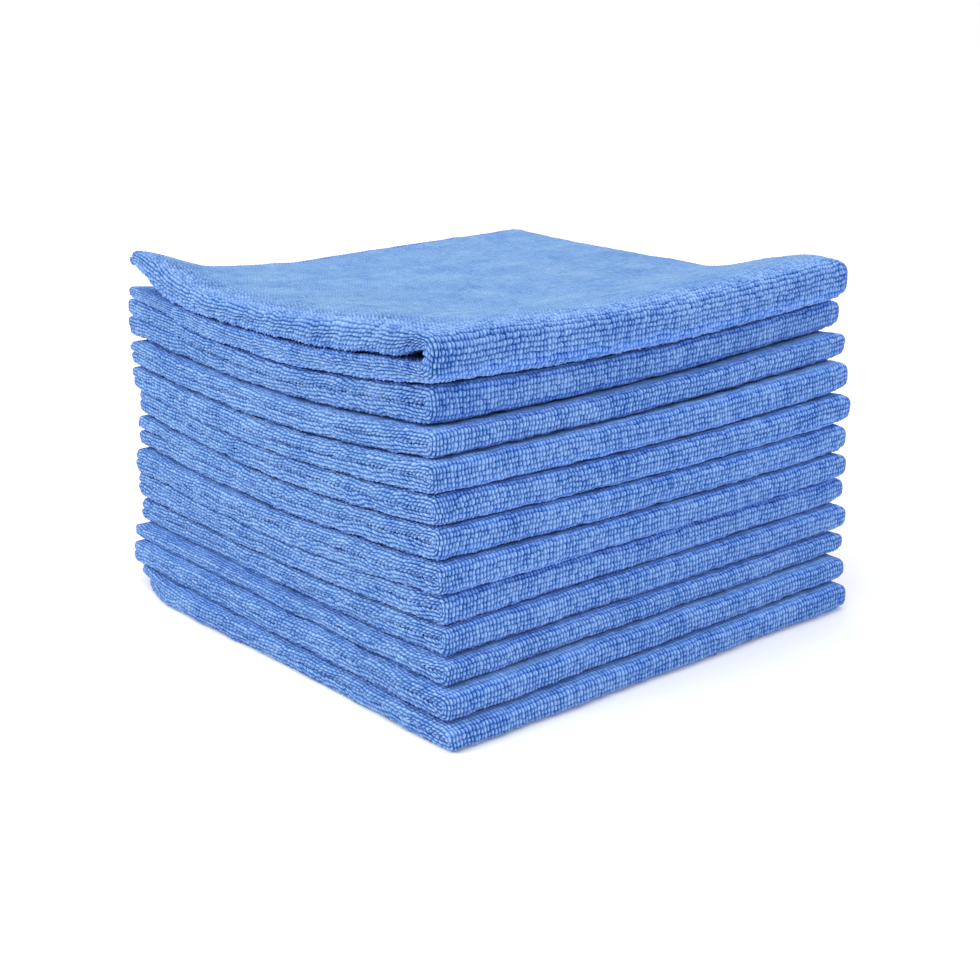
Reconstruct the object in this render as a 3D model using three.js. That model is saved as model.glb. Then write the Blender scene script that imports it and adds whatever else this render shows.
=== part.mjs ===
// A pile of folded terry polishing cloths. Each cloth is a square folded twice, so it has one thick
// roll on its +X side (second fold), two thinner rolls on its -Y side (first fold), and four open
// layers with an overlocked edge on its -X and +Y sides.
// Millimetres, +Z up, the pile stands on z = 0 and is centred on the origin.
import * as THREE from 'three';

// ---- driving dimensions -------------------------------------------------------------------
const SIDE = 200;            // side of a folded cloth; the open cloth is twice this
const HALF = SIDE / 2;
const LAYERS = 4;            // cloth layers after two folds
const GAP = 0.4;             // clearance between neighbouring cloths
const HEM = 1.8;             // room left outside the open edges for the overlock thread
const CORNER = 6;            // rounding of the folded corners, seen from above
const ROLL = 5.5;            // how far the thick fold rounds back above and below
const SMALL_ROLL = 2.6;      // the same for the pair of first folds
const LAYER_NOTCH = 0.9;     // and for the ends of the single layers
const THREAD = 0.7;          // half width of the overlock bead, measured out of the cloth edge
const THREAD_GAP = 0.35;     // clearance between bead and cloth
const MOUTH = 34;            // depth of the opening between the two halves of the top cloth
const MOUTH_LIFT = 9;        // how far its upper half lifts at the open folded corner
const HEM_START = 1.5;       // where the bead's run on the +Y side starts, beside the hem corner
const ROLL_MARGIN = 3;       // how far from the thick roll that run ends
const THIN_MARGIN = 6;       // how far from the thin rolls the run on the -X side ends
const WIDE_TURN = 4.5;       // how far the bead swings round the outside of the thick fold
const TIGHT_TURN = 1.6;      // and round its inside
const THIN_TURN = 2;         // and round the thin folds

// Boundary surfaces between the cloths, from the floor up: height at the front corner (+X, -Y),
// right corner (+X, +Y), left corner (-X, -Y) and back corner (-X, +Y), then how far the surface
// sags half way along Y and half way along X.
const BOUNDARIES = [
  { front: 0.0, right: 0.0, left: 0.0, back: 0.0, sagY: 0.0, sagX: 0.0 },
  { front: 8.5, right: 11.0, left: 9.0, back: 10.5, sagY: 0.0, sagX: 0.0 },
  { front: 18.5, right: 20.3, left: 18.0, back: 19.5, sagY: 0.0, sagX: 0.5 },
  { front: 26.6, right: 28.2, left: 22.8, back: 26.0, sagY: 0.0, sagX: 1.5 },
  { front: 37.2, right: 39.0, left: 32.0, back: 35.0, sagY: 0.3, sagX: 2.5 },
  { front: 48.0, right: 49.6, left: 43.0, back: 45.5, sagY: 0.6, sagX: 4.0 },
  { front: 59.6, right: 60.2, left: 53.0, back: 55.5, sagY: 1.4, sagX: 4.0 },
  { front: 71.6, right: 72.0, left: 66.0, back: 67.0, sagY: 1.9, sagX: 5.2 },
  { front: 82.5, right: 84.2, left: 76.5, back: 77.5, sagY: 2.2, sagX: 5.6 },
  { front: 94.0, right: 97.0, left: 85.5, back: 88.0, sagY: 2.2, sagX: 5.6 },
  { front: 103.6, right: 107.6, left: 95.5, back: 98.0, sagY: 2.6, sagX: 4.8 },
  { front: 118.6, right: 120.0, left: 109.5, back: 107.5, sagY: 3.6, sagX: 7.2 },
];
// Upper face of the top cloth: the height of its flat middle, the rise at the thick roll, the share
// of that rise left half way along the roll and at the far end of the thin rolls, the share of the
// fall from the roll that is a long gentle slope, and the extra rise of the curled corner. Then the
// distances between which each change runs: the steep and the gentle fall from the thick roll, the
// loss along the thin rolls and the fall from them, and the curl along X and along Y.
const TOP = {
  middle: 118.8, rise: 15.2, rollShare: 0.8, sideShare: 0.37, slope: 0.13, curl: 9,
  steep: [17, 82], gentle: [70, 170], loss: [0, 130], sideFall: [5, 90], curlX: [155, 200], curlY: [0, 42],
};

// How each cloth lies in the pile, from the bottom up: offset along X and Y, and turn in degrees.
const LIE = [
  { x: 13.1, y: -8.5, turn: 1.0 },
  { x: 9.6, y: -7.0, turn: 1.0 },
  { x: 4.5, y: -3.2, turn: 0.8 },
  { x: 1.8, y: 1.0, turn: 0.1 },
  { x: -0.4, y: 1.2, turn: 0.3 },
  { x: 1.5, y: -0.5, turn: 0.0 },
  { x: -0.2, y: 1.6, turn: -0.6 },
  { x: -0.5, y: 2.3, turn: -1.2 },
  { x: -1.7, y: 1.0, turn: -0.7 },
  { x: -6.6, y: 2.9, turn: -0.4 },
  { x: -13.0, y: 6.0, turn: 0.0 },
  { x: -8.0, y: 3.2, turn: -0.4 },
];
const COUNT = LIE.length;

// ---- materials ----------------------------------------------------------------------------
const matt = (name, color, roughness) => {
  return new THREE.MeshStandardMaterial({ name, color, roughness, metalness: 0 });
};
const TERRY = matt('blue_terry', 0x5b8fdc, 0.95);
const OVERLOCK = matt('overlock_thread', 0x4a6fd0, 0.8);

// ---- the shape of the pile ------------------------------------------------------------------
const mix = (a, b, k) => a + (b - a) * k;
const ease = (a, b, v) => {
  const k = THREE.MathUtils.clamp((v - a) / (b - a), 0, 1);
  return k * k * (3 - 2 * k);
};

// Height of boundary `level` above the floor at a point of the pile.
function boundaryHeight(level, x, y) {
  const s = (HALF - x) / SIDE;          // 0 at the thick rolls, 1 at the open edges
  const t = (y + HALF) / SIDE;          // 0 at the thin rolls, 1 at the other open edges
  if (level < COUNT) {
    const b = BOUNDARIES[level];
    const flat = mix(mix(b.front, b.right, t), mix(b.left, b.back, t), s);
    return flat - b.sagY * Math.sin(Math.PI * t) - b.sagX * Math.sin(Math.PI * s);
  }
  const [inX, inY] = [s * SIDE, t * SIDE];
  const fall = mix(1 - ease(...TOP.steep, inX), 1 - ease(...TOP.gentle, inX), TOP.slope);
  const roll = mix(1, TOP.rollShare, Math.sin(Math.PI * t)) * fall;
  const side = mix(1, TOP.sideShare, ease(...TOP.loss, inX)) * (1 - ease(...TOP.sideFall, inY));
  const curl = TOP.curl * ease(...TOP.curlX, inX) * (1 - ease(...TOP.curlY, inY));
  return TOP.middle + TOP.rise * (1 - (1 - roll) * (1 - side)) + curl;
}

// A point of cloth `index`, from its own flat square (u, v) to where it lies in the pile.
function placed(index, u, v) {
  const { x, y, turn } = LIE[index];
  const a = THREE.MathUtils.degToRad(turn);
  return [u * Math.cos(a) - v * Math.sin(a) + x, u * Math.sin(a) + v * Math.cos(a) + y];
}

// Height in cloth `index` at the share `q` of its thickness.
function heightIn(index, x, y, q) {
  const low = boundaryHeight(index, x, y) + (index === 0 ? 0 : GAP / 2);
  const high = boundaryHeight(index + 1, x, y) - (index === COUNT - 1 ? 0 : GAP / 2);
  return mix(low, high, q);
}

// How far a side with `lobes` rolls one above the other is set back at the share `q` of the thickness.
function setBack(q, lobes, depth) {
  const share = (q * lobes) % 1;
  if (q >= 1) return depth;
  return depth * (1 - Math.sqrt(Math.max(0, 1 - (2 * share - 1) ** 2)));
}

// Lift of the upper half of the top cloth away from the lower half, at its open folded corner.
function mouthLift(x, y) {
  return MOUTH_LIFT * ease(45, HALF, -x) * (1 - ease(0, MOUTH, y + HALF));
}

// ---- closed skins -------------------------------------------------------------------------
function meshFrom(name, points, faces, material) {
  const geometry = new THREE.BufferGeometry();
  geometry.setAttribute('position', new THREE.Float32BufferAttribute(points.flat(), 3));
  geometry.setIndex(faces.flat());
  geometry.computeVertexNormals();
  const mesh = new THREE.Mesh(geometry, material);
  mesh.name = name;
  return mesh;
}

// Spacing of the grid lines over a folded cloth, closer together near the rolls.
const STATIONS = [-1, -0.95, -0.82, -0.55, -0.2, 0.2, 0.55, 0.82, 0.95, 1];
const WALL = [0, 0.125, 0.25, 0.375, 0.5, 0.625, 0.75, 0.875, 1];

// One horizontal outline of a cloth: the rectangle left after each side is set back by its rolls.
function outline(q, mouth) {
  return {
    left: -HALF + HEM + (mouth ? MOUTH : setBack(q, LAYERS, LAYER_NOTCH)),
    right: HALF - setBack(q, 1, ROLL),
    front: -HALF + (mouth ? MOUTH : setBack(q, 2, SMALL_ROLL)),
    back: HALF - HEM - setBack(q, LAYERS, LAYER_NOTCH),
  };
}

// A point of that rectangle for grid position (i, j), with its four corners rounded off.
function onOutline(box, i, j) {
  const a = STATIONS[i];
  const b = STATIONS[j];
  const cut = CORNER * 0.3 * (Math.abs(a) === 1 && Math.abs(b) === 1 ? 1 : 0);
  return [
    mix(box.left, box.right, (a + 1) / 2) - Math.sign(a) * cut,
    mix(box.front, box.back, (b + 1) / 2) - Math.sign(b) * cut,
  ];
}

function clothSolid(index) {
  const last = STATIONS.length - 1;
  const isTop = index === COUNT - 1;
  const points = [];
  const faces = [];
  const add = (box, i, j, q, lift) => {
    const [x, y] = placed(index, ...onOutline(box, i, j));
    const z = heightIn(index, x, y, q) + lift * mouthLift(x, y);
    points.push([x, y, z]);
    return points.length - 1;
  };

  // rim of grid positions, counter-clockwise seen from above
  const rim = [];
  for (let i = 0; i < last; i++) rim.push([i, 0]);
  for (let j = 0; j < last; j++) rim.push([last, j]);
  for (let i = last; i > 0; i--) rim.push([i, last]);
  for (let j = last; j > 0; j--) rim.push([0, j]);

  // wall levels: [share of the thickness, inside the mouth, share of the mouth lift]
  const levels = WALL.map((q) => [q, false, 0]);
  if (isTop) {
    const middle = levels.findIndex(([q]) => q === 0.5);
    levels[middle] = [0.46, false, -0.4];
    levels.splice(middle + 1, 0, [0.5, true, 0], [0.54, false, 0.5]);
  }
  const rings = levels.map(([q, mouth, lift]) => {
    const box = outline(q, mouth);
    return rim.map(([i, j]) => add(box, i, j, q, lift));
  });
  for (let r = 0; r + 1 < rings.length; r++) {
    for (let k = 0; k < rim.length; k++) {
      const n = (k + 1) % rim.length;
      const [a, b, c, d] = [rings[r][k], rings[r][n], rings[r + 1][n], rings[r + 1][k]];
      faces.push([a, b, c], [a, c, d]);
    }
  }

  // under and upper faces, sharing the points of the first and last ring
  const cap = (ring, q, up) => {
    const box = outline(q, false);
    const grid = STATIONS.map(() => new Array(last + 1));
    rim.forEach(([i, j], k) => { grid[i][j] = ring[k]; });
    for (let i = 1; i < last; i++) for (let j = 1; j < last; j++) grid[i][j] = add(box, i, j, q, 0);
    for (let i = 0; i < last; i++) {
      for (let j = 0; j < last; j++) {
        const [a, b, c, d] = [grid[i][j], grid[i + 1][j], grid[i + 1][j + 1], grid[i][j + 1]];
        if (up) faces.push([a, b, c], [a, c, d]);
        else faces.push([a, c, b], [a, d, c]);
      }
    }
  };
  cap(rings[0], 0, false);
  cap(rings[rings.length - 1], 1, true);
  return meshFrom(`cloth_${String(index + 1).padStart(2, '0')}`, points, faces, TERRY);
}

// ---- overlocked edge ------------------------------------------------------------------------
// Middle line of the overlock bead of a folded cloth. It follows the whole hem once: out and back
// along the +Y side on the outer layers, up and down the -X side, then the inner layers.
// Each stop is [distance along the side, layer, outward offset]; the two sides share the hem corner.
function beadPath(index) {
  const out = HALF - HEM + THREAD_GAP + THREAD;
  const corner = -HALF + HEM + HEM_START;
  const far = HALF - ROLL - ROLL_MARGIN;
  const low = -HALF + THIN_MARGIN;
  const share = (layer) => (layer + 0.5) / LAYERS;
  const path = [];
  const stop = (u, v, q) => {
    const [x, y] = placed(index, u, v);
    path.push(new THREE.Vector3(x, y, heightIn(index, x, y, q)));
  };
  const alongBack = (layer, reverse) => {
    const us = [corner, -60, -20, 20, 60, far];
    if (reverse) us.reverse();
    us.forEach((u) => stop(u, out, share(layer)));
  };
  const alongLeft = (layer, reverse) => {
    const vs = [out - 3, 60, 20, -20, -60, low];
    if (reverse) vs.reverse();
    vs.forEach((v) => stop(-out, v, share(layer)));
  };
  alongBack(0, false);
  stop(far + WIDE_TURN, out, 0.3);
  stop(far + WIDE_TURN, out, 0.7);
  alongBack(3, true);
  alongLeft(3, false);
  stop(-out, low - THIN_TURN, share(2.5));
  alongLeft(2, true);
  alongBack(2, false);
  stop(far + TIGHT_TURN, out, 0.5);
  alongBack(1, true);
  alongLeft(1, false);
  stop(-out, low - THIN_TURN, share(0.5));
  alongLeft(0, true);
  return path;
}

// A bead of four-sided section swept along a closed path that keeps to the two open sides.
function overlockBead(index) {
  const path = beadPath(index);
  const n = path.length;
  const points = [];
  const faces = [];
  const centre = new THREE.Vector3(LIE[index].x, LIE[index].y, 0);
  for (let k = 0; k < n; k++) {
    const here = path[k];
    const before = path[(k + n - 1) % n];
    const after = path[(k + 1) % n];
    const along = after.clone().sub(before).normalize();
    const radial = here.clone().sub(centre).setZ(0);
    const onBack = radial.y > Math.abs(radial.x) - 1;
    const onCorner = Math.min(radial.y, -radial.x) > HALF - 8;
    const outward = onCorner ? new THREE.Vector3(-1, 1, 0).normalize()
      : onBack ? new THREE.Vector3(0, 1, 0) : new THREE.Vector3(-1, 0, 0);
    const across = along.clone().cross(outward).normalize();
    const side = outward.clone().addScaledVector(along, -outward.dot(along)).normalize();
    const thick = heightIn(index, here.x, here.y, 1) - heightIn(index, here.x, here.y, 0);
    const half = Math.min(THREAD, 0.3 * thick / LAYERS);
    for (const [a, b] of [[1, 0], [0, 1], [-1, 0], [0, -1]]) {
      const p = here.clone().addScaledVector(side, a * THREAD).addScaledVector(across, b * half);
      points.push([p.x, p.y, p.z]);
    }
  }
  for (let k = 0; k < n; k++) {
    const m = (k + 1) % n;
    for (let e = 0; e < 4; e++) {
      const f = (e + 1) % 4;
      faces.push([4 * k + e, 4 * m + e, 4 * m + f], [4 * k + e, 4 * m + f, 4 * k + f]);
    }
  }
  return meshFrom(`edging_${String(index + 1).padStart(2, '0')}`, points, faces, OVERLOCK);
}

// Turn a closed skin inside out if its faces point inward.
function facingOut(mesh) {
  const p = mesh.geometry.attributes.position;
  const index = mesh.geometry.index;
  const [a, b, c] = [new THREE.Vector3(), new THREE.Vector3(), new THREE.Vector3()];
  let volume = 0;
  for (let i = 0; i < index.count; i += 3) {
    a.fromBufferAttribute(p, index.getX(i));
    b.fromBufferAttribute(p, index.getX(i + 1));
    c.fromBufferAttribute(p, index.getX(i + 2));
    volume += a.dot(b.cross(c)) / 6;
  }
  if (volume < 0) {
    for (let i = 0; i < index.count; i += 3) {
      const keep = index.getX(i + 1);
      index.setX(i + 1, index.getX(i + 2));
      index.setX(i + 2, keep);
    }
    mesh.geometry.computeVertexNormals();
  }
  return mesh;
}

// ---- assembly -----------------------------------------------------------------------------
const pile = new THREE.Group();
pile.name = 'folded_cloth_pile';
for (let index = 0; index < COUNT; index++) {
  pile.add(facingOut(clothSolid(index)), facingOut(overlockBead(index)));
}
const middle = new THREE.Box3().setFromObject(pile).getCenter(new THREE.Vector3());
for (const mesh of pile.children) mesh.geometry.translate(-middle.x, -middle.y, 0);

export default pile;
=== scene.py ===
"""Pile of folded terry polishing cloths: the visible cloth, hems, materials, light and camera.

Every cloth is one square sheet, meshed flat as a lattice of terry loops and then mapped through its
two folds into the space its CAD solid holds. Lengths are millimetres until a mesh is written out.
"""

import math

import bpy
import numpy as np
from mathutils import Euler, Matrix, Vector


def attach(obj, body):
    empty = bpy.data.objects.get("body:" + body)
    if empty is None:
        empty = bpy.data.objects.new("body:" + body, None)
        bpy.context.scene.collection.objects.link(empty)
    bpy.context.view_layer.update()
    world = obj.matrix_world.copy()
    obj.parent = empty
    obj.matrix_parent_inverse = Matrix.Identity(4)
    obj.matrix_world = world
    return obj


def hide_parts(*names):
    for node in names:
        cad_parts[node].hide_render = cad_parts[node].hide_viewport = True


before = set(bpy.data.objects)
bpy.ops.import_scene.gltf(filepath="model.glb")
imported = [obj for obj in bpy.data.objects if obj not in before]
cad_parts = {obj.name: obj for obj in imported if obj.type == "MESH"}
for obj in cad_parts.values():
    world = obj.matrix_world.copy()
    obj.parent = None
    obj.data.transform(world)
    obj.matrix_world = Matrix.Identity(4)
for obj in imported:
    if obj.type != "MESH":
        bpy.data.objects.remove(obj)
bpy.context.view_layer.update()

# ---- dimensions shared with part.mjs -------------------------------------------------------------
SIDE, HALF, GAP, HEM, CORNER = 200.0, 100.0, 0.4, 1.8, 6.0
MIDDLE = (0.875, -2.074)  # middle of the uncentred pile, which the CAD moves to the origin

# Boundary surfaces between cloths, floor first: height at the front, right, left and back corner,
# then the sag half way along Y and along X.
BOUNDARIES = np.array([
    (0.0, 0.0, 0.0, 0.0, 0.0, 0.0),
    (8.5, 11.0, 9.0, 10.5, 0.0, 0.0),
    (18.5, 20.3, 18.0, 19.5, 0.0, 0.5),
    (26.6, 28.2, 22.8, 26.0, 0.0, 1.5),
    (37.2, 39.0, 32.0, 35.0, 0.3, 2.5),
    (48.0, 49.6, 43.0, 45.5, 0.6, 4.0),
    (59.6, 60.2, 53.0, 55.5, 1.4, 4.0),
    (71.6, 72.0, 66.0, 67.0, 1.9, 5.2),
    (82.5, 84.2, 76.5, 77.5, 2.2, 5.6),
    (94.0, 97.0, 85.5, 88.0, 2.2, 5.6),
    (103.6, 107.6, 95.5, 98.0, 2.6, 4.8),
    (118.6, 120.0, 109.5, 107.5, 3.6, 7.2),
])
# The top face: height of its middle, rise to the rolled edges, and the curl of its far left corner.
TOP_MIDDLE, TOP_RISE, TOP_ROLL, TOP_SIDE, TOP_SLOPE, TOP_CURL = 118.8, 15.2, 0.8, 0.37, 0.13, 9.0
TOP_STEEP, TOP_GENTLE = (17, 82), (70, 170)    # the two falls away from the thick roll
TOP_LOSS, TOP_SIDE_FALL = (0, 130), (5, 90)    # how the thin rolls lose height, and fall away
TOP_CURL_X, TOP_CURL_Y = (155, 200), (0, 42)   # where the corner curls up

# How each cloth lies, from the bottom up: offset along X and Y, and turn in degrees.
LIE = [
    (13.1, -8.5, 1.0), (9.6, -7.0, 1.0), (4.5, -3.2, 0.8), (1.8, 1.0, 0.1),
    (-0.4, 1.2, 0.3), (1.5, -0.5, 0.0), (-0.2, 1.6, -0.6), (-0.5, 2.3, -1.2),
    (-1.7, 1.0, -0.7), (-6.6, 2.9, -0.4), (-13.0, 6.0, 0.0), (-8.0, 3.2, -0.4),
]
COUNT = len(LIE)

# ---- the cloth -----------------------------------------------------------------------------------
ROWS, COLUMNS = 92, 138          # terry loops along half the cloth, across each fold line
REACH = SIDE - HEM               # half the length of the sheet inside its hem
FINE = 4                         # mesh steps per loop where the loops are modelled
CELL = 8                         # mesh steps in one coarse cell, two loops each way
LOOP_DEPTH = 0.95                # how far the gaps between loops sink
SKIN = 0.97                      # share of a layer's room that the layer fills
THICK = 11.0                     # a typical folded cloth
THIN, FAT = 6.0, 20.0            # the thinnest and the thickest place of a folded cloth
LAYER = 0.25                     # a layer, as a share of the folded cloth's thickness
TURN_1, TURN_2 = 0.25, 0.3125    # radius by which each fold takes up the sheet, as such a share
TURN_SPLIT = 1.5                 # how the second fold's radius grows from inner to outer layer
FIRST_FOLD, SECOND_FOLD = 3.5, 3.4   # how square the rolled edges are pressed, 2 being round
PROUD = 2.0                      # how far the terry of the rolled edges stands outside its CAD solid
BURIED = 0.3                     # how far the loops of neighbouring cloths press into each other
FLUFF = 0.9                      # how far the far side of the top cloth stands above its solid
FLUFF_Y = (-60, 60)              # where that begins and is whole
CURL_BELOW = 2.6                 # how far the cloth under the top one curls up with it
CURL_BELOW_X, CURL_BELOW_Y = (140, 200), (0, 45)
SLUMP = 2.6                      # how far the bottom cloth's first fold spreads on the floor
SLUMP_FROM, SLUMP_BACK, SLUMP_TURN = (90, 150), (168, 198), 2.2   # and turns in again at its end
STRETCH = 1.03, 1.01             # length across each fold, as a share of the solid's

# The slit between the two halves of a cloth. The top cloth's opens at the front and at the far end.
SLIT_FRONT, SLIT_END, SLIT_SHUT = 4.0, 9.3, 0.6
SLIT_OPENS, SLIT_CLOSES, SLIT_REOPENS = (1, 6), (10, 26), (168, 198)
SLIT_DEPTH = (10, 44)
TOP_HALF = 9.2                   # height of the top cloth's lower half, less at the front and far end
TOP_HALF_FRONT, TOP_HALF_FRONT_X, TOP_HALF_END, TOP_HALF_END_X = 1.4, (8, 30), 3.4, (110, 190)
TOP_HALF_EVENS = (8, 70)         # further in, the two halves grow equally thick
PRESSED = 1.5                    # how firmly the halves of every other cloth lie on each other
GAPE, GAPE_X, GAPE_Y = 1.2, (10, 40), (3, 16)   # how far, and where, they still part

# The rolled edges, as the cloth's layers meet them.
HALVES_SPREAD = (4, 14)          # layers part into the two halves over this distance from the roll
ROLL_END = (0, 14)               # how deep the rounding of a roll's end reaches in
PINCH = 0.42                     # how much thinner a roll is at its end
SEAM, SEAM_FADES = 0.06, (5, 40)   # waver of the line between the halves, as a share of thickness

# Soft irregularity: how far rolled and cut edges waver, and over what length.
ROLL_WAVE_X, ROLL_WAVE_Y = (150, 0.8), (140, 0.7)
HALF_WAVE, END_WAVE, SLIT_WAVE, SEAM_WAVE = (75, 0.7), (90, 0.9), (170, 0.8), (130, 1.0)
WAVE_FADES = (0, 60)             # the waver of a rolled edge fades out over this distance
END_FROM = 120                   # the waver of the cut edges begins here
LUMPS, SWAY_U, SWAY_V = (22, 1.0), (60, 1.0), (45, 1.0)

# First seed of each kind of irregularity, to which cloth k adds k.
SEED_WAVE_X, SEED_WAVE_Y, SEED_HALF, SEED_END_X, SEED_END_Y, SEED_SEAM = 20, 40, 60, 80, 90, 100
SEED_BEAD, SEED_SLIT, SEED_LUMPS, SEED_SWAY_U, SEED_SWAY_V, SEED_LOOPS = 200, 300, 600, 700, 800, 900

# Loops: how pointed they are, how light the gaps between two rows stay, and how unlike they are.
POINTED, ROW_GAP, OWN_SIZE, BROKEN = 0.8, 0.2, 0.35, (0.55, 0.6)
COARSE_SINK = 0.3                # how far coarse faces lie below the tips, as a share of LOOP_DEPTH
CLOSING = (4, 9)                 # the terry closes over this distance from a rolled edge
TOP_CLOSING = (9, 26)            # the same on the top cloth
CLOSED, CLOSED_THICK = 0.7, 0.2  # how far it closes there, and a little more beside the thick roll
CREASE_IN, CREASE_OUT = (2.6, 4.6), (7, 12)   # where a roll turns in against its neighbour, and its colour gets a painted shade tint
LUMP_SIZE, LEAN, SWAY = 0.35, (0.7, 0.4), (0.5, 0.35)

# The overlocked hem, in millimetres: its bead, its stitches, and the rounding of its corners.
BEAD_RADIUS, BEAD_OUT, BEAD_HEIGHT = 1.45, 0.35, 0.112   # the height is a share of the thickness
STITCH, RIB, UNEVEN = 1.9, 0.09, (0.05, 23)
HEM_ROUND, HEM_STEP, HEM_RING = 4.0, 0.5, 12


def ease(a, b, v):
    """0 up to a, 1 from b on, and smooth between."""
    k = np.clip((v - a) / (b - a), 0.0, 1.0)
    return k * k * (3 - 2 * k)


def mix(a, b, k):
    """a where k is 0, b where k is 1."""
    return a + (b - a) * k


def wander(seed, t, longest, size, waves=4):
    """A smooth, repeatable wavering along t, in millimetres, of about that size."""
    r = np.random.default_rng(seed)
    total = np.zeros_like(np.asarray(t, float))
    for i in range(waves):
        total = total + np.sin(2 * np.pi * (t / (longest / 1.7**i) + r.random())) / (i + 1.0)
    return total * size / 1.6


def ripple(seed, x, y, longest, size, waves=5):
    """The same over a surface."""
    r = np.random.default_rng(seed)
    total = np.zeros(np.broadcast(x, y).shape)
    for i in range(waves):
        turn, shift = r.random(2) * 2 * np.pi
        along = x * math.cos(turn) + y * math.sin(turn)
        total = total + np.sin(2 * np.pi * along / (longest / 1.45**i) + shift) / (i + 1.0)
    return total * size / 1.6


def boundary(level, x, y):
    """Height of a boundary surface of the pile."""
    s, t = (HALF - x) / SIDE, (y + HALF) / SIDE
    if level < COUNT:
        front, right, left, back, sag_y, sag_x = BOUNDARIES[level]
        flat = mix(mix(front, right, t), mix(left, back, t), s)
        curl = CURL_BELOW * ease(*CURL_BELOW_X, s * SIDE) * (1 - ease(*CURL_BELOW_Y, t * SIDE))
        sag = sag_y * np.sin(np.pi * t), sag_x * np.sin(np.pi * s)
        return flat - sag[0] - sag[1] + curl * (level == COUNT - 1)
    fall = mix(1 - ease(*TOP_STEEP, s * SIDE), 1 - ease(*TOP_GENTLE, s * SIDE), TOP_SLOPE)
    roll = mix(1, TOP_ROLL, np.sin(np.pi * t)) * fall
    side = mix(1, TOP_SIDE, ease(*TOP_LOSS, s * SIDE)) * (1 - ease(*TOP_SIDE_FALL, t * SIDE))
    curl = TOP_CURL * ease(*TOP_CURL_X, s * SIDE) * (1 - ease(*TOP_CURL_Y, t * SIDE))
    return TOP_MIDDLE + TOP_RISE * (1 - (1 - roll) * (1 - side)) + curl


def placed(k, x, y):
    """A point of cloth k, before it is centred, as that cloth lies in the pile."""
    dx, dy, turn = LIE[k]
    c, s = math.cos(math.radians(turn)), math.sin(math.radians(turn))
    return x * c - y * s + dx, x * s + y * c + dy


def room(k, x, y):
    """Lowest and highest height that cloth k may fill at a point of the pile."""
    clear = GAP / 2 - BURIED
    low = boundary(k, x, y) + (0.0 if k == 0 else clear)
    high = boundary(k + 1, x, y) - (-FLUFF * ease(*FLUFF_Y, y) if k == COUNT - 1 else clear)
    return low, high


def mouth(k, s, t):
    """How far the two halves of a cloth stand apart, s from the thick roll and t from the thin ones."""
    if k == COUNT - 1:
        front = SLIT_FRONT * ease(*SLIT_OPENS, s) * (1 - ease(*SLIT_CLOSES, s))
        return (front - SLIT_SHUT + SLIT_END * ease(*SLIT_REOPENS, s)) * (1 - ease(*SLIT_DEPTH, t))
    gape = np.clip(wander(SEED_SLIT + k, s, *SLIT_WAVE), 0, GAPE)
    return gape * ease(*GAPE_X, s) * (1 - ease(*GAPE_Y, t)) - PRESSED


def pressed(angle, power):
    """Cosine and sine of an angle, on a rolled edge squared off by the weight on it."""
    c, s = np.cos(angle), np.sin(angle)
    r = (np.abs(c)**power + np.abs(s)**power)**(-1 / power)
    return c * r, s * r


def past_turn(along, turn, thick):
    """How far a point lies past the roll of a fold, from 0 at its end to 1 at the sheet's edge."""
    taken = turn * np.pi / 2
    return np.clip(np.abs(along) / thick - taken, 0, None) / (REACH / thick - taken)


def rounded(tip):
    """How far a rolled edge draws in over its last stretch, tip being 0 to 1 along it."""
    return CORNER * 0.45 * (1 - np.sqrt(1 - 0.9 * tip**2))


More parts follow.
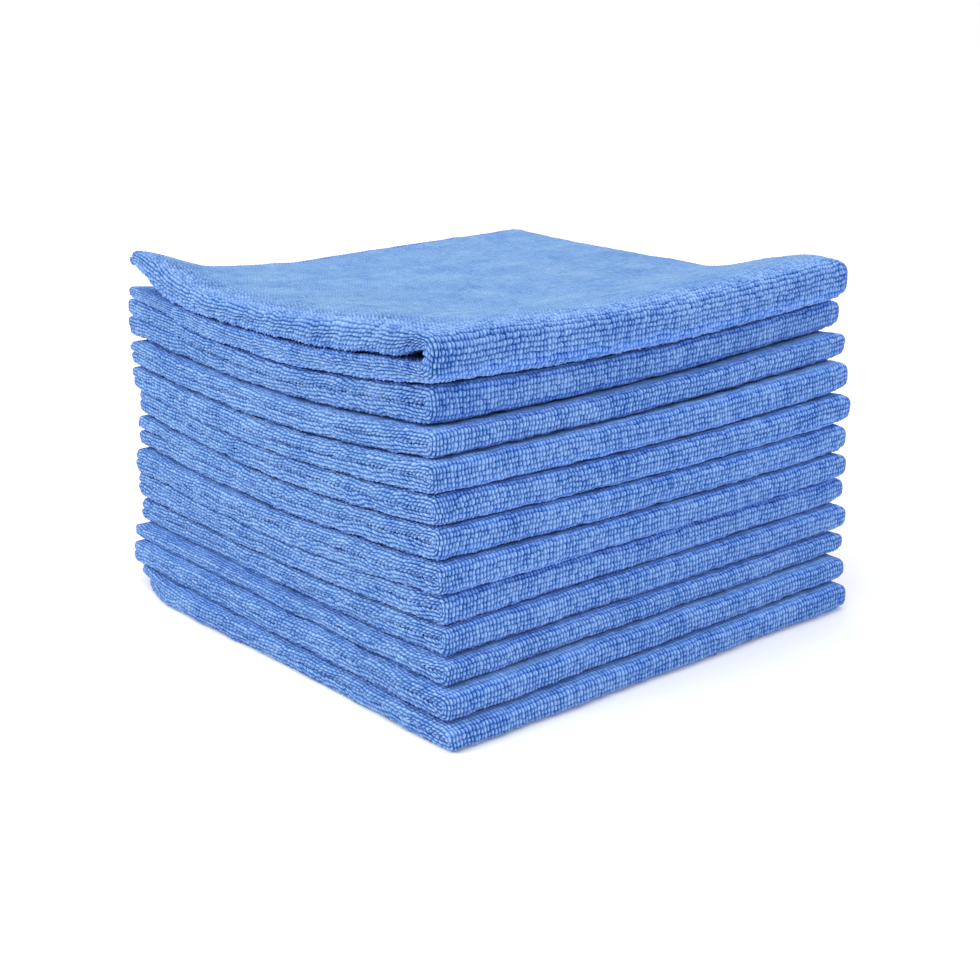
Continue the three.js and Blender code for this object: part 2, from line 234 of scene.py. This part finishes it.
def folded(k, u, v, out):
    """Maps a point of the flat sheet of cloth k to its place in the pile.

    u runs across the second fold and v across the first, both 0 at the fold. out is the offset from
    the middle of the layer, towards the sheet's outer face, as a share of the cloth's thickness.
    """
    upper, outer = np.sign(u), np.sign(v)
    layer = ((upper > 0) * 2 + (outer > 0)).astype(int)
    short_x, short_y = END_INSET[k][layer], END_INSET[k][layer + 4]
    thick = np.full(u.shape, THICK)
    # the cloth's thickness depends on where the point lands, so it is found in three rounds
    for _ in range(3):
        # first fold: two layers, rolled about a line along X
        from_axis = LAYER / 2 + out
        cos1, sin1 = pressed(np.clip(v / (TURN_1 * thick), -np.pi / 2, np.pi / 2), FIRST_FOLD)
        run_y = past_turn(v, TURN_1, thick)
        # second fold: both layers, rolled about a line along Y
        turn = TURN_2 + TURN_SPLIT * (LAYER / 2) * sin1
        cos2, sin2 = pressed(np.clip(u / (turn * thick), -np.pi / 2, np.pi / 2), SECOND_FOLD)
        rho = LAYER + from_axis * sin1
        run_x = past_turn(u, turn, thick)
        in_x = thick * (2 * LAYER - rho * cos2) + run_x * (REACH - short_x - 2 * LAYER * thick)
        in_y = thick * (LAYER - from_axis * cos1) + run_y * (REACH - short_y - LAYER * thick)
        # soft wavering of the rolled edges and of the cut edges
        wave_x = np.abs(wander(SEED_WAVE_X + k, in_y, *ROLL_WAVE_X)) * (1 - ease(*WAVE_FADES, in_x))
        halves = 0.5 * upper * wander(SEED_HALF + k, in_x, *HALF_WAVE)
        wave_y = np.abs(wander(SEED_WAVE_Y + k, in_x, *ROLL_WAVE_Y) + halves)
        if k == 0:
            back_in = 1 - SLUMP_TURN * ease(*SLUMP_BACK, in_x)
            wave_y = wave_y - SLUMP * ease(*SLUMP_FROM, in_x) * back_in
        wave_y = wave_y * (1 - ease(*WAVE_FADES, in_y))
        loose = upper * (1 + 0.5 * outer)
        end_x = np.abs(wander(SEED_END_X + k, in_y, *END_WAVE) * loose)
        end_y = np.abs(wander(SEED_END_Y + k, in_x, *END_WAVE) * loose)
        wave_x = wave_x + end_x * ease(END_FROM, SIDE, in_x)
        wave_y = wave_y + end_y * ease(END_FROM, SIDE, in_y)
        # the rolled edges are rounded off where they end
        tip_x = np.clip((in_x - SIDE + CORNER) / CORNER, 0, 1)
        tip_y = np.clip((in_y - SIDE + CORNER) / CORNER, 0, 1)
        wave_x = wave_x + rounded(tip_y) * (1 - ease(*ROLL_END, in_x))
        wave_y = wave_y + rounded(tip_x) * (1 - ease(*ROLL_END, in_y))
        off_x = HALF + PROUD - in_x * STRETCH[0] - wave_x * np.sign(HALF - in_x)
        off_y = in_y * STRETCH[1] - HALF - PROUD + wave_y * np.sign(HALF - in_y)
        x, y = placed(k, off_x + EASE_X[k], off_y + EASE_Y[k])
        low, high = room(k, x, y)
        thick = np.clip(high - low, THIN, FAT)
    height = high - low
    zeta = rho * sin2                              # -0.5 at the underside, 0.5 at the upper side
    middle = LAYER * upper * np.maximum(ease(*HALVES_SPREAD, in_x), tip_x)
    pinch = 1 - PINCH * np.maximum(tip_x, tip_y)**2
    zeta = middle + (zeta - middle) * pinch
    gap = mouth(k, in_x, in_y)
    half = 0.5 + SEAM * wander(SEED_SEAM + k, in_x, *SEAM_WAVE) * (1 - ease(*SEAM_FADES, in_y))
    if k == COUNT - 1:
        lower = TOP_HALF - TOP_HALF_FRONT * (1 - ease(*TOP_HALF_FRONT_X, in_x))
        lower = lower - TOP_HALF_END * ease(*TOP_HALF_END_X, in_x)
        half = mix((lower + gap / 2) / height, 0.5, ease(*TOP_HALF_EVENS, in_y))
    below, above = half * height - gap / 2, (1 - half) * height - gap / 2
    z = low + half * height + sin2 * gap / 2 + 2 * zeta * mix(below, above, 0.5 + 0.5 * sin2)
    return x - MIDDLE[0], y - MIDDLE[1], z


# How far each layer's cut edges stop short: four layers on the -X side, then four on the +Y side.
# The top cloth's upper half and the bottom cloth's lower half stop shorter on the -X side.
end_dice = np.random.default_rng(7)
MOST_SHORT = np.array([1.2, 2.0, 1.2, 2.0, 0.8, 1.2, 0.8, 1.2])
END_INSET = [end_dice.random(8) * MOST_SHORT for _ in range(COUNT)]
END_INSET[COUNT - 1][2:4] += 4.5
END_INSET[0][:2] += 9.0
# small slips of the terry over its solid, bottom cloth first
EASE_X = np.interp(np.arange(COUNT), [0, 1, 8, 11], [1.2, 0.6, 0.5, 2.0])
EASE_Y = np.interp(np.arange(COUNT), [0, 1, 8, 11], [-0.6, 0.0, 1.0, 1.8])


def between(grid, i, j):
    """Values of a grid at places between its points."""
    a, b = np.floor(i).astype(int), np.floor(j).astype(int)
    p, q = i - a, j - b
    return mix(mix(grid[a, b], grid[a + 1, b], p), mix(grid[a, b + 1], grid[a + 1, b + 1], p), q)


# ---- meshes --------------------------------------------------------------------------------------
def make_mesh(name, points, starts, corners, material, uv, values):
    """A mesh object from points in millimetres, face starts and corner indices, a UV place for every
    corner and named values for every point."""
    mesh = bpy.data.meshes.new(name)
    mesh.vertices.add(len(points))
    mesh.vertices.foreach_set("co", (points / 1000).astype(np.float32).ravel())
    mesh.loops.add(len(corners))
    mesh.loops.foreach_set("vertex_index", corners.astype(np.int32))
    mesh.polygons.add(len(starts))
    mesh.polygons.foreach_set("loop_start", starts.astype(np.int32))
    mesh.update(calc_edges=True)
    mesh.polygons.foreach_set("use_smooth", np.ones(len(starts), bool))
    layer = mesh.uv_layers.new(name="loops")
    layer.data.foreach_set("uv", uv.astype(np.float32).ravel())
    for key, value in values.items():
        mesh.attributes.new(key, "FLOAT", "POINT").data.foreach_set("value", value.astype(np.float32))
    mesh.validate()
    mesh.materials.append(material)
    obj = bpy.data.objects.new(name, mesh)
    bpy.context.scene.collection.objects.link(obj)
    return obj


def mesh_steps(k):
    """The mesh step in every coarse cell of the sheet: fine near both folds, where loops show most."""
    steps = np.full((2 * ROWS * FINE // CELL, 2 * COLUMNS * FINE // CELL), CELL)
    mid_i, mid_j = steps.shape[0] // 2, steps.shape[1] // 2
    wide_i, wide_j = 3, 2
    if k == COUNT - 1:
        wide_i, wide_j = 5, 4
        steps[mid_i:, mid_j:] = 2                  # the face on top of the pile
    steps[mid_i - wide_i:mid_i + wide_i, mid_j - 2:] = 1
    steps[:, mid_j - wide_j:mid_j + wide_j] = 1
    return steps


def sheet_points(steps):
    """Numbers of the points on the fine lattice, outer side and inner side, -1 where there is none."""
    used = np.zeros([n * CELL + 1 for n in steps.shape], bool)
    used[::CELL, ::CELL] = True
    for i, j in np.argwhere(steps < CELL):
        step = steps[i, j]
        used[i * CELL:(i + 1) * CELL + 1:step, j * CELL:(j + 1) * CELL + 1:step] = True
    front = np.full(used.shape, -1, np.int64)
    front[used] = np.arange(used.sum())
    back = np.full(used.shape, -1, np.int64)
    coarse = back[::CELL, ::CELL]
    back[::CELL, ::CELL] = np.arange(coarse.size).reshape(coarse.shape) + used.sum()
    return front, back


def sheet_faces(steps, front, back):
    """The corners of every face in one row, and how many corners each face has."""
    faces, sizes = [], []

    def add(rows):
        rows = np.asarray(rows, np.int64)
        faces.append(rows.ravel())
        sizes.append(np.full(len(rows), rows.shape[1]))

    # outer side; a face beside a finer cell takes that cell's points along its edge
    around = np.pad(steps, 1, mode="edge")
    finest = np.minimum.reduce([around[:-2, 1:-1], around[2:, 1:-1],
                                around[1:-1, :-2], around[1:-1, 2:]])
    for step in (1, 2, CELL):
        corner = np.arange(0, CELL, step)
        a, b = (g.ravel() for g in np.meshgrid(corner, corner, indexing="ij"))
        ci, cj = np.nonzero((steps == step) & (finest >= step))
        i, j = (ci[:, None] * CELL + a).ravel(), (cj[:, None] * CELL + b).ravel()
        add(np.stack([front[i, j], front[i + step, j],
                      front[i + step, j + step], front[i, j + step]], 1))
        ci, cj = np.nonzero((steps == step) & (finest < step))
        for i, j in zip((ci[:, None] * CELL + a).ravel(), (cj[:, None] * CELL + b).ravel()):
            ring = np.concatenate([front[i:i + step, j], front[i + step, j:j + step],
                                   front[i + step:i:-1, j + step], front[i, j + step:j:-1]])
            add([ring[ring >= 0]])
    # inner side, and the cut edge between the two
    ni, nj = steps.shape
    i, j = (g.ravel() * CELL for g in np.meshgrid(np.arange(ni), np.arange(nj), indexing="ij"))
    add(np.stack([back[i, j], back[i, j + CELL], back[i + CELL, j + CELL], back[i + CELL, j]], 1))

    def rim(line):
        for s in range(0, len(line) - 1, CELL):
            part = [front[p] for p in line[s:s + CELL + 1] if front[p] >= 0]
            add([part[::-1] + [back[line[s]], back[line[s + CELL]]]])

    fi, fj = ni * CELL, nj * CELL
    rim([(s, 0) for s in range(fi + 1)])
    rim([(fi, s) for s in range(fj + 1)])
    rim([(fi - s, fj) for s in range(fi + 1)])
    rim([(0, fj - s) for s in range(fj + 1)])
    return np.concatenate(faces), np.concatenate(sizes)


def cloth_mesh(k, material):
    """Cloth k: one sheet with loops on its outer side, folded twice."""
    steps = mesh_steps(k)
    front, back = sheet_points(steps)
    # flat places of the points, in rows and columns of loops and in millimetres from the middle
    gi, gj = np.nonzero(front >= 0)
    bi, bj = np.nonzero(back >= 0)
    row = np.concatenate([gi, bi]) / FINE - ROWS
    column = np.concatenate([gj, bj]) / FINE - COLUMNS
    u, v = row * REACH / ROWS, column * REACH / COLUMNS
    on_front = np.arange(len(u)) < len(gi)
    looped = np.zeros(front.shape, bool)
    for i, j in np.argwhere(steps < CELL):
        looped[i * CELL:(i + 1) * CELL + 1, j * CELL:(j + 1) * CELL + 1] = True
    looped = np.concatenate([looped[gi, gj], np.zeros(len(bi), bool)])

    # the loops: each has its own size, and their columns drift sideways from row to row
    r = np.random.default_rng(SEED_LOOPS + k)
    size = r.random((2 * ROWS + 2, 2 * COLUMNS + 2))
    drift = np.cumsum(r.choice([-1, 0, 0, 0, 1], 2 * ROWS + 1)) / FINE
    line = np.floor(row).astype(int) + ROWS
    moved = column + drift[line]
    own = size[line, np.floor(moved).astype(int) % (2 * COLUMNS)]
    along = ROW_GAP + (1 - ROW_GAP) * np.abs(np.sin(np.pi * row)) ** POINTED
    across = np.abs(np.sin(np.pi * moved)) ** POINTED
    loop = along * across * (1 - OWN_SIZE + OWN_SIZE * own)
    spot = row + ROWS, column + COLUMNS
    broken = BROKEN[0] + BROKEN[1] * between(r.random((2 * ROWS + 3, 2 * COLUMNS + 3)), *spot)

    # the pile opens along the rolled edges, and closes to an even surface on the flat
    turn_in = np.minimum(np.abs(u), np.abs(v))
    opened = 1 - CLOSED * ease(*(TOP_CLOSING if k == COUNT - 1 else CLOSING), turn_in)
    thick_roll = ease(*TOP_CLOSING, np.abs(u)) * (1 - ease(*TOP_CLOSING, np.abs(v)))
    opened = opened - CLOSED_THICK * thick_roll
    sunk = np.where(on_front, np.where(looped, (1 - loop) * broken * opened, COARSE_SINK), 0.0)
    # painted shade: where the rolled edge turns in against its neighbour, in the shade between cloths,
    # the colour is tinted; not on the face on top of the pile
    crease_shade = ease(*CREASE_IN, turn_in) * (1 - ease(*CREASE_OUT, turn_in))
    if k == COUNT - 1:
        crease_shade = crease_shade * ((u < 0) | (v < 0))
    lumps = LUMP_SIZE * ripple(SEED_LUMPS + k, u, v, *LUMPS)
    out = np.where(on_front, 1.0, -1.0) * (LAYER / 2) * SKIN
    out = out - (sunk * LOOP_DEPTH + np.abs(lumps) * on_front) / THICK

    # each loop leans its own way, and the lines of loops wander a little over the cloth
    jog_u, jog_v = r.random((2, 2 * ROWS + 3, 2 * COLUMNS + 3)) - 0.5
    inside = ease(0, 6, REACH - np.abs(u)) * ease(0, 6, REACH - np.abs(v))
    sway = SWAY[0] * ripple(SEED_SWAY_U + k, u, v, *SWAY_U)
    u = u + inside * (LEAN[0] * between(jog_u, *spot) + sway)
    sway = SWAY[1] * ripple(SEED_SWAY_V + k, u, v, *SWAY_V)
    v = v + inside * (LEAN[1] * between(jog_v, *spot) + sway)
    points = np.stack(folded(k, u, v, out), 1)

    faces, sizes = sheet_faces(steps, front, back)
    starts = np.concatenate([[0], np.cumsum(sizes)[:-1]])
    face_line = np.floor(np.add.reduceat(row[faces], starts) / sizes).astype(int) + ROWS
    uv = np.stack([row[faces], column[faces] + np.repeat(drift[face_line], sizes)], 1)
    return make_mesh(f"folded_cloth_{k + 1:02d}", points, starts, faces, material, uv,
                     {"sunk": sunk, "opened": opened, "crease_shade": crease_shade})


def hem_mesh(k, material):
    """The overlock stitching: a ribbed bead that follows the sheet's edge through both folds."""
    n = int(4 * 2 * REACH / HEM_STEP)
    s = np.arange(n) / n * 4
    side, share = np.floor(s).astype(int), (s - np.floor(s)) * 2 - 1
    run = share * REACH
    edge = np.full(n, REACH)
    u = np.choose(side, [run, edge, -run, -edge])
    v = np.choose(side, [-edge, run, edge, -run])
    nu = np.choose(side, [0 * run, edge * 0 + 1, 0 * run, edge * 0 - 1]).astype(float)
    nv = np.choose(side, [edge * 0 - 1, 0 * run, edge * 0 + 1, 0 * run]).astype(float)
    # turn the outward direction gently round the corners, and pull the bead in there
    corner = np.clip((np.abs(run) - (REACH - HEM_ROUND)) / HEM_ROUND, 0, 1)
    nu = nu + corner**2 * np.sign(u) * (np.abs(nu) < 0.5)
    nv = nv + corner**2 * np.sign(v) * (np.abs(nv) < 0.5)
    length = np.hypot(nu, nv)
    nu, nv = nu / length, nv / length
    pull = -0.3 * HEM_ROUND * corner**3
    # the bead's section at every step, with the stitches leaning a little round it
    psi = np.arange(HEM_RING) / HEM_RING * 2 * np.pi
    slant = 1.2 * np.sin(psi)[None, :]
    rib = 0.5 + 0.5 * np.cos(2 * np.pi * (np.arange(n)[:, None] * HEM_STEP / STITCH) + slant)
    uneven = UNEVEN[0] * wander(SEED_BEAD + k, np.arange(n) * HEM_STEP, UNEVEN[1], 1.0)
    fat = 1 - RIB * (1 - rib) + uneven[:, None]
    e = BEAD_OUT + BEAD_RADIUS * fat * np.cos(psi)[None, :] + pull[:, None]
    out = BEAD_HEIGHT * fat * np.sin(psi)[None, :]
    uu, vv = u[:, None] + nu[:, None] * e, v[:, None] + nv[:, None] * e
    points = np.stack(folded(k, uu.ravel(), vv.ravel(), out.ravel()), 1)
    a = np.arange(n)[:, None] * HEM_RING + np.arange(HEM_RING)[None, :]
    b = np.roll(a, -1, 0)
    quads = np.stack([a, b, np.roll(b, -1, 1), np.roll(a, -1, 1)], 2).reshape(-1, 4)
    starts = np.arange(len(quads)) * 4
    uv = np.stack([np.repeat(np.arange(n) * HEM_STEP / STITCH, HEM_RING), np.tile(psi, n)], 1)
    return make_mesh(f"hem_{k + 1:02d}", points, starts, quads.ravel(), material, uv[quads.ravel()],
                     {"sunk": (1 - rib).ravel()})


# ---- materials -----------------------------------------------------------------------------------
# painted shade: the first colour darkens the gaps between loops, standing in for the shade that falls
# in them; the last is the lit colour of the loop tips
VALLEY_SHADE, BODY, TIP = (0.012, 0.075, 0.32), (0.108, 0.234, 0.60), (0.272, 0.435, 0.755)
CREASE_SHADE_TINT = (0.94, 1.02, 1.15)   # painted shade: the bluer colour of the shade between cloths, where light only arrives through the fibres
FLAT_TONE = 0.42                 # how light the closed pile is, from the painted valley shade to the tip
FLAT_GREY_AND_SHEEN = (1.0, 1.0, 0.78)     # the closed pile is a little greyer than the open loops: partly the fuzz of its fibres, partly painted sheen on the face on top of the pile
# the thread's colour, and painted shade where it sinks between the stitches
THREAD, THREAD_GAP_SHADE = (0.10, 0.22, 0.72), (0.025, 0.07, 0.34)
PATCHES, FUZZ = 70.0, 2200.0     # noise scale of the uneven patches and of the single fibres
DRAWN, RELIEF = 0.62, 0.38       # what a drawn loop and a modelled one give to the tone, which runs from painted shade in the gaps between loops to the lit tips
OWN_TONE, PATCH_TONE, FUZZ_TONE = 0.34, 0.4, 0.45


class Nodes:
    """Short names for building one node tree."""

    def __init__(self, name):
        self.material = bpy.data.materials.new(name)
        self.material.use_nodes = True
        self.tree = self.material.node_tree
        self.shader = self.tree.nodes["Principled BSDF"]

    def new(self, kind, **settings):
        node = self.tree.nodes.new(kind)
        for key, value in settings.items():
            setattr(node, key, value)
        return node

    def link(self, a, b):
        self.tree.links.new(a, b)

    def math(self, operation, a, b=None, c=None, clamp=False):
        node = self.new("ShaderNodeMath", operation=operation, use_clamp=clamp)
        for i, value in enumerate((a, b, c)):
            if value is None:
                continue
            if isinstance(value, (int, float)):
                node.inputs[i].default_value = value
            else:
                self.link(value, node.inputs[i])
        return node.outputs[0]

    def noise(self, place, scale, detail):
        node = self.new("ShaderNodeTexNoise")
        node.inputs["Scale"].default_value = scale
        node.inputs["Detail"].default_value = detail
        self.link(place, node.inputs["Vector"])
        return node.outputs["Fac"]

    def bump(self, height, strength, distance):
        node = self.new("ShaderNodeBump")
        node.inputs["Strength"].default_value = strength
        node.inputs["Distance"].default_value = distance
        self.link(height, node.inputs["Height"])
        self.link(node.outputs[0], self.shader.inputs["Normal"])

    def mix(self, share, a, b, blend="MIX"):
        node = self.new("ShaderNodeMix", data_type="RGBA", blend_type=blend)
        for socket, value in ((node.inputs[0], share), (node.inputs[6], a), (node.inputs[7], b)):
            if isinstance(value, (int, float)):
                socket.default_value = value
            elif isinstance(value, tuple):
                socket.default_value = (*value, 1.0)
            else:
                self.link(value, socket)
        return node.outputs[2]


def terry_material():
    """Blue terry: one drawn loop in every loop of the mesh, over the fuzz of its fibres, with painted
    shade in the gaps between the loops.
    """
    n = Nodes("blue_terry")
    uv = n.new("ShaderNodeUVMap", uv_map="loops").outputs[0]
    split = n.new("ShaderNodeSeparateXYZ")
    n.link(uv, split.inputs[0])
    # one loop: a tall narrow oval, with low lines between the columns and shallower ones between rows;
    # it sets both the bump and the painted shade between loops
    rows = n.math("ABSOLUTE", n.math("SINE", n.math("MULTIPLY", split.outputs[0], math.pi)))
    columns = n.math("ABSOLUTE", n.math("SINE", n.math("MULTIPLY", split.outputs[1], math.pi)))
    rows = n.math("MULTIPLY_ADD", n.math("POWER", rows, POINTED), 0.65, 0.35)
    loop = n.math("MULTIPLY", rows, columns)
    opened = n.new("ShaderNodeAttribute", attribute_name="opened").outputs["Fac"]
    loop = n.math("MULTIPLY_ADD", n.math("SUBTRACT", loop, FLAT_TONE), opened, FLAT_TONE)
    cell = n.new("ShaderNodeVectorMath", operation="FLOOR")
    n.link(uv, cell.inputs[0])
    dice = n.new("ShaderNodeTexWhiteNoise", noise_dimensions="2D")
    n.link(cell.outputs[0], dice.inputs["Vector"])
    place = n.new("ShaderNodeTexCoord").outputs["Object"]
    patches = n.noise(place, PATCHES, 3.0)
    fuzz = n.noise(place, FUZZ, 3.0)
    sunk = n.new("ShaderNodeAttribute", attribute_name="sunk").outputs["Fac"]
    proud = n.math("SUBTRACT", 1.0, sunk, clamp=True)
    tone = n.math("MULTIPLY_ADD", loop, DRAWN, n.math("MULTIPLY", proud, RELIEF))
    uneven = n.math("MULTIPLY", n.math("SUBTRACT", dice.outputs["Value"], 0.5), opened)
    tone = n.math("MULTIPLY_ADD", uneven, OWN_TONE, tone)
    tone = n.math("MULTIPLY_ADD", n.math("SUBTRACT", patches, 0.5), PATCH_TONE, tone)
    tone = n.math("MULTIPLY_ADD", n.math("SUBTRACT", fuzz, 0.5), FUZZ_TONE, tone, clamp=True)
    # the tone picks a colour from the painted shade of the gaps between loops, through the body, to the
    # lit tips
    ramp = n.new("ShaderNodeValToRGB")
    n.link(tone, ramp.inputs[0])
    stops = ramp.color_ramp.elements
    stops[0].position, stops[0].color = 0.12, (*VALLEY_SHADE, 1.0)
    stops[1].position, stops[1].color = 0.95, (*TIP, 1.0)
    stops.new(0.5).color = (*BODY, 1.0)
    # partly painted sheen: the closed pile, seen mostly on the face on top of the pile, is made greyer
    flat = n.math("SUBTRACT", 1.0, opened, clamp=True)
    colour = n.mix(flat, ramp.outputs[0], FLAT_GREY_AND_SHEEN, "MULTIPLY")
    # painted shade: the creases between cloths are tinted a more saturated blue
    crease_shade = n.new("ShaderNodeAttribute", attribute_name="crease_shade").outputs["Fac"]
    n.link(n.mix(crease_shade, colour, CREASE_SHADE_TINT, "MULTIPLY"), n.shader.inputs["Base Color"])
    n.shader.inputs["Roughness"].default_value = 0.95
    n.shader.inputs["Sheen Weight"].default_value = 0.03
    n.shader.inputs["Sheen Roughness"].default_value = 0.5
    n.shader.inputs["Sheen Tint"].default_value = (0.95, 1.0, 0.95, 1.0)
    n.shader.inputs["Specular IOR Level"].default_value = 0.05
    height = n.math("MULTIPLY_ADD", fuzz, 0.4, n.math("MULTIPLY_ADD", uneven, 0.35, loop))
    n.bump(height, 0.7, 0.0006)
    return n.material


def thread_material():
    """The hem's thread: fine strands, with painted shade between the stitches."""
    n = Nodes("overlock_thread")
    sunk = n.new("ShaderNodeAttribute", attribute_name="sunk").outputs["Fac"]
    uv = n.new("ShaderNodeUVMap", uv_map="loops").outputs[0]
    strands = n.new("ShaderNodeTexWave", wave_type="BANDS", bands_direction="X")
    strands.inputs["Scale"].default_value = 1.6
    strands.inputs["Distortion"].default_value = 1.5
    n.link(uv, strands.inputs["Vector"])
    # painted shade: the thread is coloured darker where it sinks between the stitches
    colour = n.mix(sunk, THREAD, THREAD_GAP_SHADE)
    n.link(colour, n.shader.inputs["Base Color"])
    n.shader.inputs["Roughness"].default_value = 0.6
    n.shader.inputs["Sheen Weight"].default_value = 0.2
    n.shader.inputs["Sheen Tint"].default_value = (0.8, 0.9, 1.0, 1.0)
    n.bump(strands.outputs["Fac"], 0.4, 0.0002)
    return n.material


def floor_material():
    """Plain pale floor."""
    n = Nodes("pale_floor")
    n.shader.inputs["Base Color"].default_value = (0.92, 0.92, 0.92, 1.0)
    n.shader.inputs["Roughness"].default_value = 0.85
    return n.material


# ---- the pile ------------------------------------------------------------------------------------
terry, thread = terry_material(), thread_material()
for k in range(COUNT):
    body = f"cloth_{k + 1:02d}"
    cloth, hem = cloth_mesh(k, terry), hem_mesh(k, thread)
    for piece, node, name in ((cloth, body, "blue_terry"),
                              (hem, f"edging_{k + 1:02d}", "overlock_thread")):
        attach(piece, body)
        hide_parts(node)

# ---- floor, light, camera ------------------------------------------------------------------------
bpy.ops.mesh.primitive_plane_add(size=60, location=(0, 0, 0))
floor = bpy.context.object
floor.name = "floor"
floor.data.materials.append(floor_material())

world = bpy.data.worlds.new("studio")
bpy.context.scene.world = world
world.use_nodes = True
world.node_tree.nodes["Background"].inputs["Color"].default_value = (1.0, 1.0, 1.0, 1.0)
world.node_tree.nodes["Background"].inputs["Strength"].default_value = 1.08
bpy.context.scene.view_settings.view_transform = "Standard"


def softbox(name, place, target, size, watts, colour):
    """A square soft light at a place in metres, turned to a target."""
    lamp = bpy.data.lights.new(name, "AREA")
    lamp.size, lamp.energy, lamp.color = size, watts, colour
    obj = bpy.data.objects.new(name, lamp)
    obj.location = place
    obj.rotation_euler = (Vector(target) - Vector(place)).to_track_quat("-Z", "Y").to_euler()
    bpy.context.scene.collection.objects.link(obj)


softbox("key", (-0.45, -1.2, 1.0), (0, 0, 0.07), 0.8, 12, (1.0, 0.98, 0.9))
softbox("cool fill", (1.2, -0.1, 0.5), (0, 0, 0.07), 0.8, 2.8, (0.75, 0.86, 1.0))
softbox("top", (0.0, 0.1, 1.5), (0, 0, 0.1), 1.2, 6, (1.0, 0.97, 0.86))

# the photograph's view, fitted to the pile's corners and edges
AZIMUTH, ELEVATION, LENS = 50.69, 18.06, 67.93
EYE = (0.5464, -0.44275, 0.2692)  # metres
camera = bpy.data.cameras.new("camera")
camera.sensor_width = 36
camera.lens = LENS
camera.clip_start = 0.01
eye = bpy.data.objects.new("camera", camera)
eye.location = EYE
eye.rotation_euler = Euler((math.radians(90 - ELEVATION), 0, math.radians(AZIMUTH)))
bpy.context.scene.collection.objects.link(eye)
bpy.context.scene.camera = eye
